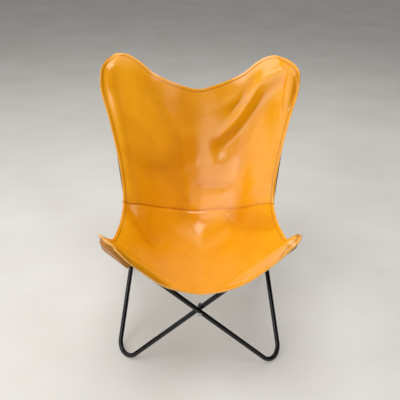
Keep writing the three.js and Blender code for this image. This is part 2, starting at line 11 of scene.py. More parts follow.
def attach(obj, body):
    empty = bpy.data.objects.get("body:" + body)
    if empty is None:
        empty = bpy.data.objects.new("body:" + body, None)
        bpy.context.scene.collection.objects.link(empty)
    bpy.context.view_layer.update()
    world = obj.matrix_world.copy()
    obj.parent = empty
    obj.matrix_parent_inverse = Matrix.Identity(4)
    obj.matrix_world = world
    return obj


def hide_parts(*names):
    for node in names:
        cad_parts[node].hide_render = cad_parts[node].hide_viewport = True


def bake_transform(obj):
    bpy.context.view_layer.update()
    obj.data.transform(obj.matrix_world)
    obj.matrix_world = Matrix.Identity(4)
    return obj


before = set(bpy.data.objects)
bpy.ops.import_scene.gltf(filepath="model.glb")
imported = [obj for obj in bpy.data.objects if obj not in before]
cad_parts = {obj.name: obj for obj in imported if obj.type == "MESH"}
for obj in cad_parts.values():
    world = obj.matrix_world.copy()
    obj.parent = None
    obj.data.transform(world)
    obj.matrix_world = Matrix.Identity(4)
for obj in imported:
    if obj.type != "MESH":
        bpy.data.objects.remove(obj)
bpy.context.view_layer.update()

# Sizes are in millimetres from the drawing's origin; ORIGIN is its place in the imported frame.
MM = 0.001
ORIGIN = np.array([-2.981, 27.917, 0.0])
FIT = 0.3
FAR = 1e9

# Bent tube: corners of the two loops, and the radius of the bend at each.
TUBE_R = 8.0
OUTER_LOOP = np.array([[290, -309.93, -41.36], [241, -60, 266], [285, 340.65, -36.21],
                       [-361, 357.65, 958], [-231, -60, 237.47], [-297, -400.93, 556]])
INNER_LOOP = np.array([[-290, -290.07, -44.74], [-241, -60, 266], [-285, 319.35, -39.2],
                       [361, 336.35, 958], [231, -60, 237.88], [297, -381.07, 556]])
BEND_R = [51, 40, 51, 42, 40, 28]
FRONT_FOOT, APEX, BACK_FOOT, BACK_TIP, DIP, FRONT_TIP = range(6)
BEND_STEPS = 25
TUBE_ROUNDING = 12
TUBE_MERGE = 1e-6
TUBE_SHARP = math.radians(40)

# Pivots: middle of the crossing, way inwards, and the seats of head, spacer and nut along it.
PIVOTS = {
    "front": ((0, -344.957, 252.904), (0, 0.977084, 0.212855), -18.228, -1.0015, 0.9985, 18.235),
    "back": ((0, 337.5, 401.576), (0, -0.977084, -0.212855), -20.645, -1.0003, 0.9997, 20.646),
}
BOLT_R, BOLT_CHAMFER = 3, 0.6
BOLT_HOLE_R = 3.3
DRILL_LENGTH, DRILL_SIDES = 64, 24
HEAD_R, HEAD_H = 6.5, 3.6
SOCKET_R, SOCKET_FLOOR, SOCKET_CHAMFER = 2.0, -1.9, 0.15
DOME_FROM, DOME_STEPS = 0.36, 9
WASHER_R, WASHER_T, WASHER_CHAMFER = 7, 1.2, 0.25
SEAT = WASHER_T + FIT
BOLT_IN_NUT = 5
CAP_NUT = [(BOLT_HOLE_R, 0), (5.5, 0), (5.75, 0.3), (5.75, 3.6), (5.3, 4.1), (4.9, 5.3), (4.1, 7.0),
           (2.9, 8.3), (1.5, 8.9), (0, 9), (0, 6), (BOLT_HOLE_R, 6), (BOLT_HOLE_R, 0)]
NUT_ACROSS, NUT_FLATS = 10, 3.6
LATHE_STEPS = 36
LATHE_MERGE = 1e-7
LATHE_SHARP = math.radians(35)

# Sling: thickness, the size of its flat cut, and the length of its middle line.
LEATHER_T = 3.0
LEATHER_LIFT = TUBE_R + FIT + LEATHER_T / 2
HALF_WIDTH = 330.0
LENGTH = 1000.0
MIDDLE_LENGTH = 1000.7
# Over a tip the hide lies this far above the tube, falls away beside it, first as a round crest
# and then hanging, and the lift fades out along the hide behind the tip.
DRAPE_ROOM, DRAPE_SOFT = 3.0, 3
CREST_FALL, HANG_FROM, HANG_FALL = 55, 15.0, 4
DRAPE_DEEP, DRAPE_REACH, DRAPE_FADE = 60, 440, 120
# The middle line's pull on the hide, where the back starts to lean, and how far in folds start.
CROWN = 1.5
LEAN_FROM, LEAN_OVER, LEAN = 0.35, 0.3, 1.1
FOLD_EDGE = 9
# Seam across the seat as shares of the length, and the lap of the seat panel under the back one.
SEAM_MIDDLE, SEAM_TILT, SEAM_BOW, SEAM_ENDS = 0.5401, -0.0095, -0.2496, 0.1153
LAP = 14 / MIDDLE_LENGTH
LAP_STEP = 6 / MIDDLE_LENGTH
# Mesh of the panels: spacing, and closer rows within the turned edge, as distances from it.
SPACING = 5.0
PANEL_HALF = 300
EDGE_BAND = 26
EDGE_ROWS = (22, 18.5, 15.5, 13.5, 12, 10.8, 9.4, 7.5, 5.4, 3.4, 1.6, 0.5, 0)
RIM_STEPS = 1201
PROBE = 0.003
# Turned edge: plain hide is this share of its thickness, and the stitches press it thin.
PLAIN, PRESSED, THINNEST = 0.72, 0.22, 0.3
TURNED_T = LEATHER_T / PLAIN
TURN_END, TURN_FADE = 8.5, 2
PRESS_WIDE = 1.3
EDGE_ROUND = 1.0
EDGE_SHARP = math.radians(55)
EDGE_TONE = 24.0
FOLD_TONE = 20

STITCH_INSET = 11.5
STITCH_PITCH, STITCH_LENGTH, STITCH_R = 6.5, 4.4, 0.55
EDGE_STITCH_LIFT, SEAM_STITCH_LIFT = 1.25, 1.45
SEAM_INSETS = (3.5, 10.0)
SEAM_REACH = 0.965
INSET_MOST, INSET_HALVINGS = 0.22, 14

POCKET_T = 2.0
POCKET_HEM = 12.0
POCKET_LIP = 0.95
POCKET_COLUMNS, POCKET_ROWS = 44, 40
CROWD_ACROSS, CROWD_ALONG = 1.25, 1.45
HUG = 0.5
RAY_FROM = 160

# Studio: sizes in metres, power in watts, camera angles in degrees.
FLOOR_HALF, FLOOR_CELLS, FLOOR_GLOW = 9, 8, 0.28
WORLD_STRENGTH = 0.04
LAMPS = [
    ("window_front_left", (-1.75, -2.25, 1.85), (0.0, 0.1, 0.5), (3.0, 2.4), 44),
    ("window_left", (-3.0, 0.1, 1.85), (0.0, 0.1, 0.5), (3.8, 2.6), 34),
    ("ceiling", (-0.25, -0.45, 3.2), (0.0, -0.1, 0.3), (2.0, 2.0), 50),
    ("fill_right", (2.6, -1.5, 2.3), (0.0, 0.0, 0.5), (3.2, 2.4), 2),
    ("skylight_back", (0.8, 1.65, 3.0), (0.0, 0.0, 0.5), (3.2, 2.4), 30),
]
CAMERA_PLACE = (-0.033, -1.862, 1.476)
CAMERA_TURN, CAMERA_PITCH, CAMERA_ROLL = -1, 62, 0.6
LENS, SENSOR = 54.0, 36.0


# Materials


def srgb(code):
    """Linear colour of an sRGB hex value."""
    channels = [int(code[i:i + 2], 16) / 255 for i in (1, 3, 5)]
    return (*[c / 12.92 if c <= 0.04045 else ((c + 0.055) / 1.055) ** 2.4 for c in channels], 1.0)


def marks(size_mm):
    """Scale of a pattern whose marks are this many millimetres across."""
    return 1 / (size_mm * MM)


def node(tree, kind, sockets, stops=(), **settings):
    """Adds a node with its settings, links or values, and colour stops where it has a ramp."""
    made = tree.nodes.new(kind)
    for name, value in settings.items():
        setattr(made, name, value)
    for name, value in sockets.items():
        if isinstance(value, bpy.types.NodeSocket):
            tree.links.new(value, made.inputs[name])
        else:
            made.inputs[name].default_value = value
    for k, (place, colour) in enumerate(stops):
        row = made.color_ramp.elements
        element = row[k] if k < 2 else row.new(place)
        element.position = place
        element.color = srgb(colour) if isinstance(colour, str) else (colour, colour, colour, 1.0)
    return made


def blank(name):
    """A new material with an empty node tree."""
    made = bpy.data.materials.new(name)
    made.use_nodes = True
    made.node_tree.nodes.clear()
    return made, made.node_tree


def waxed_bridle_leather():
    """Drum-dyed cowhide, waxed and glazed: deep amber with cloudy dye, a fine pebbled grain and a
    soft broad shine, with a painted highlight where its edge is turned over, painted shade in fold
    valleys, ridges paler from wear and painted sheen, and darker along the stitch line."""
    made, tree = blank("waxed_bridle_leather")
    hide = node(tree, "ShaderNodeUVMap", {}, uv_map="hide").outputs["UV"]
    edge = node(tree, "ShaderNodeAttribute", {}, attribute_name="edge_mm").outputs["Fac"]
    fold = node(tree, "ShaderNodeAttribute", {}, attribute_name="fold").outputs["Fac"]
    # The dye took in clouds about 90 mm wide; ridges are rubbed paler by use and also get painted
    # sheen, and valleys get painted shade.
    cloud = node(tree, "ShaderNodeTexNoise", {
        "Vector": hide, "Scale": marks(90), "Detail": 4.0, "Roughness": 0.55}).outputs["Fac"]
    dye = node(tree, "ShaderNodeValToRGB", {"Fac": cloud},
               stops=[(0.3, "#EC9A00"), (0.5, "#F4A400"), (0.72, "#FAAE00")]).outputs["Color"]
    # Fold height paints the valleys darker as shade, and the ridges paler, partly as wear and
    # partly as painted sheen.
    wear_and_fold_shade = node(tree, "ShaderNodeValToRGB", {"Fac": fold},
                stops=[(0.1, "#CE7C00"), (0.5, "#F4A400"), (0.85, "#FDB414")]).outputs["Color"]
    tone = node(tree, "ShaderNodeMix", {"Factor": 0.4, "A": dye, "B": wear_and_fold_shade},
                data_type="RGBA").outputs["Result"]
    # The turned edge's first 3 mm carry a painted highlight of the fold, and a darker band is drawn
    # along the stitch line.
    near = node(tree, "ShaderNodeMath", {0: edge, 1: 1 / EDGE_TONE},
                operation="MULTIPLY").outputs[0]
    pale = node(tree, "ShaderNodeValToRGB", {"Fac": near},
                stops=[(0.0, 0.85), (0.05, 0.75), (0.13, 0.0), (1.0, 0.0)]).outputs["Color"]
    pressed = node(tree, "ShaderNodeValToRGB", {"Fac": near},
                   stops=[(0.36, 0.0), (0.45, 0.75), (0.51, 0.75), (0.6, 0.0)]).outputs["Color"]
    tone = node(tree, "ShaderNodeMix", {"Factor": pressed, "A": tone, "B": srgb("#C87A06")},
                data_type="RGBA").outputs["Result"]
    # Painted highlight along the fold of the turned edge.
    tone = node(tree, "ShaderNodeMix", {"Factor": pale, "A": tone, "B": srgb("#FFBE5C")},
                data_type="RGBA").outputs["Result"]
    # The real grain is about 0.8 mm; it is drawn at 2.4 mm so that it shows at this image size.
    pebble = node(tree, "ShaderNodeTexVoronoi", {"Vector": hide, "Scale": marks(2.4)},
                  feature="SMOOTH_F1").outputs["Distance"]
    # Drawn unevenness of the hide, 22 mm across.
    draw = node(tree, "ShaderNodeTexNoise", {
        "Vector": hide, "Scale": marks(22), "Detail": 5.0, "Roughness": 0.6}).outputs["Fac"]
    bump = node(tree, "ShaderNodeBump", {"Height": pebble, "Strength": 0.06, "Distance": 0.5 * MM})
    bump = node(tree, "ShaderNodeBump", {"Height": draw, "Strength": 0.07, "Distance": 4 * MM,
                                         "Normal": bump.outputs[0]})
    polish = node(tree, "ShaderNodeValToRGB", {"Fac": cloud},
                  stops=[(0.3, 0.2), (0.7, 0.29)]).outputs["Color"]
    shader = node(tree, "ShaderNodeBsdfPrincipled", {
        "Base Color": tone, "Roughness": polish, "IOR": 1.53, "Specular IOR Level": 0.6,
        "Coat Weight": 0.15, "Coat Roughness": 0.16, "Normal": bump.outputs[0]})
    node(tree, "ShaderNodeOutputMaterial", {"Surface": shader.outputs[0]})
    return made


def split_suede():
    """Flesh side of the hide, shaved and napped: brown, matt, with short cloudy fibres."""
    made, tree = blank("split_suede")
    hide = node(tree, "ShaderNodeUVMap", {}, uv_map="hide").outputs["UV"]
    # Real nap is under a millimetre; it is drawn in tufts of 4 mm so that it shows.
    fibre = node(tree, "ShaderNodeTexNoise", {
        "Vector": hide, "Scale": marks(4), "Detail": 6.0, "Roughness": 0.7}).outputs["Fac"]
    nap = node(tree, "ShaderNodeValToRGB", {"Fac": fibre},
               stops=[(0.3, "#9C6018"), (0.5, "#B87824"), (0.75, "#CE9038")]).outputs["Color"]
    bump = node(tree, "ShaderNodeBump", {"Height": fibre, "Strength": 0.35, "Distance": 1 * MM})
    shader = node(tree, "ShaderNodeBsdfPrincipled", {
        "Base Color": nap, "Roughness": 0.85, "IOR": 1.45, "Sheen Weight": 0.25,
        "Sheen Roughness": 0.5, "Normal": bump.outputs[0]})
    node(tree, "ShaderNodeOutputMaterial", {"Surface": shader.outputs[0]})
    return made


def burnished_edge_and_highlight():
    """Cut and turned edge of the hide, rubbed with wax: a thin pale amber line, a little uneven;
    its paleness is partly a painted highlight of the fold.
    """
    made, tree = blank("burnished_edge_and_highlight")
    place = node(tree, "ShaderNodeTexCoord", {}).outputs["Object"]
    rub = node(tree, "ShaderNodeTexNoise", {
        "Vector": place, "Scale": marks(6), "Detail": 3.0}).outputs["Fac"]
    tone = node(tree, "ShaderNodeValToRGB", {"Fac": rub},
                stops=[(0.35, "#F0AE4A"), (0.65, "#FFCB78")]).outputs["Color"]
    shader = node(tree, "ShaderNodeBsdfPrincipled", {
        "Base Color": tone, "Roughness": 0.42, "IOR": 1.5})
    node(tree, "ShaderNodeOutputMaterial", {"Surface": shader.outputs[0]})
    return made


def waxed_thread():
    """Twisted linen thread drawn through wax: brown amber, slightly shiny, mottled by its twist."""
    made, tree = blank("waxed_thread")
    place = node(tree, "ShaderNodeTexCoord", {}).outputs["Object"]
    twist = node(tree, "ShaderNodeTexNoise", {
        "Vector": place, "Scale": marks(1.5), "Detail": 2.0}).outputs["Fac"]
    tone = node(tree, "ShaderNodeValToRGB", {"Fac": twist},
                stops=[(0.35, "#A05C08"), (0.65, "#C97F16")]).outputs["Color"]
    shader = node(tree, "ShaderNodeBsdfPrincipled", {
        "Base Color": tone, "Roughness": 0.5, "IOR": 1.5})
    node(tree, "ShaderNodeOutputMaterial", {"Surface": shader.outputs[0]})
    return made


def gloss_black_enamel():
    """Stoved black enamel on bent steel tube: near-black with a faint blue cast, mirror-like but
    slightly rippled by the spray, a little duller where hands and floor have rubbed it."""
    made, tree = blank("gloss_black_enamel")
    place = node(tree, "ShaderNodeTexCoord", {}).outputs["Object"]
    peel = node(tree, "ShaderNodeTexNoise", {
        "Vector": place, "Scale": marks(5), "Detail": 2.0}).outputs["Fac"]
    rub = node(tree, "ShaderNodeTexNoise", {
        "Vector": place, "Scale": marks(60), "Detail": 5.0, "Roughness": 0.65}).outputs["Fac"]
    tone = node(tree, "ShaderNodeValToRGB", {"Fac": rub},
                stops=[(0.35, "#060608"), (0.7, "#0D0E11")]).outputs["Color"]
    dull = node(tree, "ShaderNodeValToRGB", {"Fac": rub},
                stops=[(0.4, 0.14), (0.75, 0.26)]).outputs["Color"]
    bump = node(tree, "ShaderNodeBump", {"Height": peel, "Strength": 0.08, "Distance": 0.4 * MM})
    shader = node(tree, "ShaderNodeBsdfPrincipled", {
        "Base Color": tone, "Roughness": dull, "IOR": 1.5, "Specular IOR Level": 0.3,
        "Coat Weight": 0.2, "Coat Roughness": 0.08, "Normal": bump.outputs[0]})
    node(tree, "ShaderNodeOutputMaterial", {"Surface": shader.outputs[0]})
    return made


def zinc_plated_steel():
    """Bright zinc plate on turned steel: light grey, softly mirrored, with a fine spangle."""
    made, tree = blank("zinc_plated_steel")
    place = node(tree, "ShaderNodeTexCoord", {}).outputs["Object"]
    spangle = node(tree, "ShaderNodeTexNoise", {
        "Vector": place, "Scale": marks(3), "Detail": 4.0}).outputs["Fac"]
    tone = node(tree, "ShaderNodeValToRGB", {"Fac": spangle},
                stops=[(0.3, "#A4A8AD"), (0.7, "#C9CCCF")]).outputs["Color"]
    dull = node(tree, "ShaderNodeValToRGB", {"Fac": spangle},
                stops=[(0.3, 0.26), (0.7, 0.42)]).outputs["Color"]
    shader = node(tree, "ShaderNodeBsdfPrincipled", {
        "Base Color": tone, "Metallic": 1.0, "Roughness": dull})
    node(tree, "ShaderNodeOutputMaterial", {"Surface": shader.outputs[0]})
    return made


def drawn_steel():
    """Cold-drawn bare steel, hidden inside the tube: mid grey with fine draw marks."""
    made, tree = blank("drawn_steel")
    place = node(tree, "ShaderNodeTexCoord", {}).outputs["Object"]
    scuffs = node(tree, "ShaderNodeTexNoise", {
        "Vector": place, "Scale": marks(2), "Detail": 3.0}).outputs["Fac"]
    tone = node(tree, "ShaderNodeValToRGB", {"Fac": scuffs},
                stops=[(0.3, "#7C7F83"), (0.7, "#A0A3A7")]).outputs["Color"]
    shader = node(tree, "ShaderNodeBsdfPrincipled", {
        "Base Color": tone, "Metallic": 1.0, "Roughness": 0.4})
    node(tree, "ShaderNodeOutputMaterial", {"Surface": shader.outputs[0]})
    return made


HIDE = waxed_bridle_leather()
SUEDE = split_suede()
HIDE_EDGE = burnished_edge_and_highlight()
THREAD = waxed_thread()
ENAMEL = gloss_black_enamel()
ZINC = zinc_plated_steel()
STEEL = drawn_steel()


# Tube loops


def to_frame(points):
    """Points of the drawing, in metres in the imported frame."""
    return (np.asarray(points, float) + ORIGIN) * MM


def piece(name, bm, *materials):
    mesh = bpy.data.meshes.new(name)
    bm.to_mesh(mesh)
    bm.free()
    for one in materials:
        mesh.materials.append(one)
    mesh.shade_smooth()
    made = bpy.data.objects.new(name, mesh)
    bpy.context.scene.collection.objects.link(made)
    return made


def unit(v):
    return np.asarray(v, float) / np.linalg.norm(v)


def bend(loop, i):
    """Rounded corner i of a loop: its centre, radius and half angle, the ways to the corners before
    and after it, the way out, and the way from the centre to where the bend starts."""
    b, r = loop[i], BEND_R[i]
    to_a, to_c = unit(loop[i - 1] - b), unit(loop[(i + 1) % len(loop)] - b)
    half = math.acos(to_a @ to_c) / 2
    inward = unit(to_a + to_c)
    centre = b + inward * r / math.sin(half)
    to_start = unit(b + to_a * r / math.tan(half) - centre)
    return centre, r, half, to_a, to_c, -inward, to_start


def tube_route(loop):
    """Centre line of a loop, from one side of its butt joint in the back leg round to the other."""
    joint = (loop[APEX] + loop[BACK_FOOT]) / 2
    along = unit(loop[BACK_FOOT] - loop[APEX])
    route = [joint + along * FIT / 2]
    for i in (BACK_FOOT, BACK_TIP, DIP, FRONT_TIP, FRONT_FOOT, APEX):
        centre, r, half, to_a, _, _, to_start = bend(loop, i)
        for turn in np.linspace(0, math.pi - 2 * half, BEND_STEPS):
            route.append(centre + r * (math.cos(turn) * to_start - math.sin(turn) * to_a))
    route.append(joint - along * FIT / 2)
    return to_frame(route)


def on_axis(mid, inwards, along):
    """Matrix that sets a piece made about +Z on a pivot's line, `along` mm in from its middle."""
    place = to_frame(np.array(mid) + np.array(inwards) * along)
    return Matrix.Translation(place) @ Vector(inwards).to_track_quat("Z", "Y").to_matrix().to_4x4()


def drill(tube, mid, inwards):
    bm = bmesh.new()
    bmesh.ops.create_cone(bm, cap_ends=True, segments=DRILL_SIDES, radius1=BOLT_HOLE_R * MM,
                          radius2=BOLT_HOLE_R * MM, depth=DRILL_LENGTH * MM,
                          matrix=on_axis(mid, inwards, 0))
    bit = piece("drill_bit", bm)
    cut = tube.modifiers.new("bolt_hole", "BOOLEAN")
    cut.object, cut.solver = bit, "EXACT"
    shown = tube.evaluated_get(bpy.context.evaluated_depsgraph_get())
    drilled = bpy.data.meshes.new_from_object(shown)
    tube.modifiers.clear()
    old = tube.data
    drilled.name = old.name + "_drilled"
    tube.data = drilled
    bpy.data.meshes.remove(old)
    bpy.data.objects.remove(bit)


def bent_tube(name, loop, body, node_name):
    """A loop of round tube along its route, with flat feet and drilled for both bolts."""
    curve = bpy.data.curves.new(name, "CURVE")
    curve.dimensions = "3D"
    curve.bevel_depth = TUBE_R * MM
    curve.bevel_resolution = TUBE_ROUNDING
    curve.use_fill_caps = True
    route = tube_route(loop)
    line = curve.splines.new("POLY")
    line.points.add(len(route) - 1)
    for point, place in zip(line.points, route):
        point.co = (*place, 1.0)
    drawn = bpy.data.objects.new(name + "_line", curve)
    bpy.context.scene.collection.objects.link(drawn)
    bm = bmesh.new()
    bm.from_mesh(drawn.evaluated_get(bpy.context.evaluated_depsgraph_get()).to_mesh())
    bpy.data.objects.remove(drawn)
    bpy.data.curves.remove(curve)
    bmesh.ops.remove_doubles(bm, verts=bm.verts, dist=TUBE_MERGE)
    # The feet are worn flat where they stand on the floor.
    bmesh.ops.bisect_plane(bm, geom=bm.verts[:] + bm.edges[:] + bm.faces[:], plane_co=(0, 0, 0),
                           plane_no=(0, 0, -1), clear_outer=True)
    bmesh.ops.holes_fill(bm, edges=[e for e in bm.edges if e.is_boundary], sides=0)
    bmesh.ops.recalc_face_normals(bm, faces=bm.faces)
    tube = piece(name, bm, ENAMEL)
    for mid, inwards, *_ in PIVOTS.values():
        drill(tube, mid, inwards)
    tube.data.shade_smooth()
    tube.data.set_sharp_from_angle(angle=TUBE_SHARP)
    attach(tube, body)
    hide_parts(node_name)


bent_tube("outer_tube", OUTER_LOOP, "outer_body", "outer_frame_loop")
bent_tube("inner_tube", INNER_LOOP, "inner_body", "inner_frame_loop")


# Pivot bolts


def turned(name, outline, mid, inwards, along, hexagon=None):
    """A piece turned on the lathe from its outline (radius, height); hexagon mills six flats."""
    bm = bmesh.new()
    row = [bm.verts.new((r * MM, 0, z * MM)) for r, z in outline]
    for a, b in zip(row, row[1:]):
        bm.edges.new((a, b))
    bmesh.ops.spin(bm, geom=bm.verts[:] + bm.edges[:], cent=(0, 0, 0), axis=(0, 0, 1),
                   angle=math.tau, steps=LATHE_STEPS, use_merge=True)
    bmesh.ops.remove_doubles(bm, verts=bm.verts, dist=LATHE_MERGE)
    if hexagon:
        across, top = hexagon
        for v in bm.verts:
            r = math.hypot(v.co.x, v.co.y)
            if 0 < r and v.co.z <= top * MM + LATHE_MERGE:
                side = (math.atan2(v.co.y, v.co.x) + math.pi / 6) % (math.pi / 3) - math.pi / 6
                keep = min(1.0, across / 2 * MM / math.cos(side) / r)
                v.co.x, v.co.y = v.co.x * keep, v.co.y * keep
    bmesh.ops.recalc_face_normals(bm, faces=bm.faces)
    bmesh.ops.transform(bm, matrix=on_axis(mid, inwards, along), verts=bm.verts)
    made = piece(name, bm, ZINC)
    made.data.set_sharp_from_angle(angle=LATHE_SHARP)
    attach(made, "outer_body")
    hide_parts(name.replace("turned_", ""))


def washer_outline(t):
    outer, bore, c = WASHER_R, BOLT_HOLE_R, min(WASHER_CHAMFER, t / 4)
    return [(bore, c), (bore + c, 0), (outer - c, 0), (outer, c), (outer, t - c), (outer - c, t),
            (bore + c, t), (bore, t - c), (bore, c)]


for end, (mid, inwards, head, spacer_from, spacer_to, nut) in PIVOTS.items():
    head_seat, nut_seat = head - SEAT, nut + SEAT
    shank = nut_seat + BOLT_IN_NUT - head_seat
    # Button head with a shallow key socket in its crown.
    dome = [(HEAD_R * math.sin(a), -HEAD_H * math.cos(a))
            for a in np.linspace(DOME_FROM, math.pi / 2, DOME_STEPS)]
    socket = [(0, SOCKET_FLOOR), (SOCKET_R, SOCKET_FLOOR), (SOCKET_R, dome[0][1] + SOCKET_CHAMFER)]
    shaft = [(BOLT_R, 0), (BOLT_R, shank - BOLT_CHAMFER), (BOLT_R - BOLT_CHAMFER, shank),
             (0, shank)]
    turned(f"turned_{end}_pivot_bolt", [*socket, *dome, (HEAD_R, 0), *shaft],
           mid, inwards, head_seat)
    turned(f"turned_{end}_pivot_head_washer", washer_outline(WASHER_T),
           mid, inwards, head - WASHER_T)
    turned(f"turned_{end}_pivot_spacer", washer_outline(spacer_to - spacer_from),
           mid, inwards, spacer_from)
    turned(f"turned_{end}_pivot_nut_washer", washer_outline(WASHER_T), mid, inwards, nut)
    turned(f"turned_{end}_pivot_cap_nut", CAP_NUT, mid, inwards, nut_seat,
           hexagon=(NUT_ACROSS, NUT_FLATS))

for spigot in ("outer_loop_spigot", "inner_loop_spigot"):
    sleeve = bpy.data.objects[spigot]
    sleeve.data.materials.clear()
    sleeve.data.materials.append(STEEL)


# Sling surface


def ease(x):
    t = np.clip(x, 0, 1)
    return t * t * (3 - 2 * t)


def smooth_line(points):
    """Centripetal curve through the points; returns a function of the share of its length."""
    n = len(points)
    P = np.array(points, float)
    P = np.vstack([2 * P[0] - P[1], P, 2 * P[-1] - P[-2]])

    def gap(a, b):
        return (((a - b) ** 2).sum(1) ** 0.25)[:, None]

    def at(t):
        t = t * (n - 1)
        i = np.clip(np.floor(t).astype(int), 0, n - 2)
        w = (t - i)[:, None]
        p0, p1, p2, p3 = P[i], P[i + 1], P[i + 2], P[i + 3]
        d0, d1, d2 = gap(p0, p1), gap(p1, p2), gap(p2, p3)
        t1 = ((p1 - p0) / d0 - (p2 - p0) / (d0 + d1) + (p2 - p1) / d1) * d1
        t2 = ((p2 - p1) / d1 - (p3 - p1) / (d1 + d2) + (p3 - p2) / d2) * d1
        return (p1 + t1 * w + (3 * (p2 - p1) - 2 * t1 - t2) * w ** 2
                + (2 * (p1 - p2) + t1 + t2) * w ** 3)

    line = at(np.linspace(0, 1, 4001))
    far = np.concatenate([[0], np.cumsum(np.linalg.norm(np.diff(line, axis=0), axis=1))])
    share = far / far[-1]
    return lambda s: np.stack([np.interp(s, share, line[:, k]) for k in range(3)], 1)


class Tip:
    """Plane of a bent tube's tip: way out to the tip, way to the rail, and the upper side; with the
    depth of its pocket, the hide's overhang past the tube, and how far that rim is rolled down."""

    def __init__(self, loop, corner, depth, hem, curl):
        self.centre, self.r, self.half, to_a, to_c, self.out, _ = bend(loop, corner)
        rail = to_c if corner == BACK_TIP else to_a
        self.lat = unit(rail - self.out * (rail @ self.out))
        up = np.cross(self.out, self.lat)
        self.up = up if up[2] > 0 else -up
        self.depth, self.hem, self.curl = depth, hem, curl

    def place(self, d, w, over):
        return (self.centre + np.outer(d, self.out) + np.outer(w, self.lat)
                + np.outer(over, self.up))

    def rim(self, degrees, flare):
        """Point of the hide's rim round the tip, `flare` mm further out than its overhang."""
        a = math.radians(degrees)
        r = self.r + TUBE_R + self.hem + flare
        return self.place([r * math.cos(a)], [r * math.sin(a)], [LEATHER_LIFT - self.curl])[0]

    def outside(self, d, w):
        """Distance outside the tube's centre line, in the plane of the tip."""
        far = np.hypot(d, w)
        s = math.sin(self.half)
        return np.where(d > far * s, far, np.abs(w) * math.cos(self.half) + d * s) - self.r


FRONT_LEFT = Tip(OUTER_LOOP, FRONT_TIP, depth=44, hem=14, curl=0)
FRONT_RIGHT = Tip(INNER_LOOP, FRONT_TIP, depth=44, hem=14, curl=12)
BACK_LEFT = Tip(OUTER_LOOP, BACK_TIP, depth=80, hem=20, curl=0)
BACK_RIGHT = Tip(INNER_LOOP, BACK_TIP, depth=80, hem=20, curl=0)

# Free edges of the sling, which hang a little unevenly. The lobes round the front tips and the
# flares round the back tips are (degrees, extra overhang).
LEFT_EDGE = [[-276, -298, 490], [-270, -225, 474], [-268, -120, 459], [-270, -5, 475],
             [-284, 65, 568], [-326, 165, 712], [-360, 235, 810]]
RIGHT_EDGE = [[276, -298, 490], [268, -225, 474], [264, -120, 459], [267, -5, 475],
              [284, 65, 568], [329, 165, 712], [366, 235, 810]]
LEFT_LOBE = [(15, 9), (36, 8), (60, 4)]
RIGHT_LOBE = [(15, 3), (36, 0), (60, 0)]
LEFT_FLARE = [(64, 4), (42, -5), (20, -9), (0, -6), (-20, 0)]
RIGHT_FLARE = [(64, 13), (42, 1), (20, -5.5), (0, -5), (-20, 0)]
LEFT_FRONT = [[-274, -400, 541], [-261, -407, 532], [-242, -414, 517], [-224, -418, 498],
              [-202, -418, 476], [-177, -415, 451], [-151, -411, 426], [-109, -402, 388],
              [-69, -394, 366]]
RIGHT_FRONT = [[291, -388, 539], [279, -397, 530], [262, -405, 516], [246, -411, 501],
               [227, -414, 482], [200, -414, 456], [150, -406, 406], [100, -398, 373],
               [50, -391, 354]]
LEFT_TOP = [[-293, 355, 903], [-268, 362, 898], [-227, 359, 876], [-177, 346, 838],
            [-136, 335, 818], [-68, 320, 795]]
RIGHT_TOP = [[293, 355, 898], [268, 362, 894], [227, 359, 876], [177, 346, 838],
             [136, 335, 818], [68, 320, 795]]
# Middle line of the sling from the front edge to the top.
FRONT_MIDDLE = [0, -387, 346]
TOP_MIDDLE = [0, 315, 780]
PROFILE = [FRONT_MIDDLE, [0, -250, 303], [0, -120, 284], [0, -10, 284], [0, 75, 318],
           [0, 130, 392], [0, 200, 525], [0, 265, 665], TOP_MIDDLE]


def side_line(points, front, lobe, back, flare):
    return smooth_line([front.rim(*f) for f in lobe] + points + [back.rim(*f) for f in flare[:-1]])


left_line = side_line(LEFT_EDGE, FRONT_LEFT, LEFT_LOBE, BACK_LEFT, LEFT_FLARE)
right_line = side_line(RIGHT_EDGE, FRONT_RIGHT, RIGHT_LOBE, BACK_RIGHT, RIGHT_FLARE)
front_line = smooth_line([FRONT_LEFT.rim(*LEFT_LOBE[0])] + LEFT_FRONT + [FRONT_MIDDLE]
                         + RIGHT_FRONT[::-1] + [FRONT_RIGHT.rim(*RIGHT_LOBE[0])])
top_line = smooth_line([BACK_LEFT.rim(*f) for f in LEFT_FLARE[-2:]] + LEFT_TOP + [TOP_MIDDLE]
                       + RIGHT_TOP[::-1] + [BACK_RIGHT.rim(*f) for f in RIGHT_FLARE[:-3:-1]])
middle_line = smooth_line(PROFILE)
line_ends = [line(np.array([k])) for line in (left_line, right_line) for k in (0.0, 1.0)]

# Soft folds in the hide: a path in (u, v), its rise, and its width on its left and right hand.
FOLDS = [
    ([(-0.61, 0.94), (-0.57, 0.84), (-0.56, 0.74), (-0.59, 0.63)], 4, 34, 30),
    ([(0.58, 0.97), (0.43, 0.915), (0.29, 0.87)], -5, 20, 20),
    ([(0.68, 0.96), (0.48, 0.885), (0.32, 0.83), (0.20, 0.80)], 4, 20, 20),
    ([(0.70, 0.86), (0.58, 0.82), (0.38, 0.77), (0.18, 0.742)], -12, 54, 34),
    ([(0.46, 0.795), (0.32, 0.77), (0.16, 0.755)], -3, 60, 50),
    ([(0.95, 0.92), (0.97, 0.78), (0.92, 0.68)], -3, 16, 16),
    ([(-0.02, 0.632), (0.16, 0.614), (0.34, 0.592)], -4, 16, 16),
    ([(-0.02, 0.725), (0.16, 0.71)], 2, 16, 16),
    ([(0.60, 0.53), (0.78, 0.49), (0.93, 0.455)], 4, 18, 18),
    ([(-0.10, 0.66), (-0.13, 0.58), (-0.16, 0.52), (-0.18, 0.48)], -5, 26, 32),
]
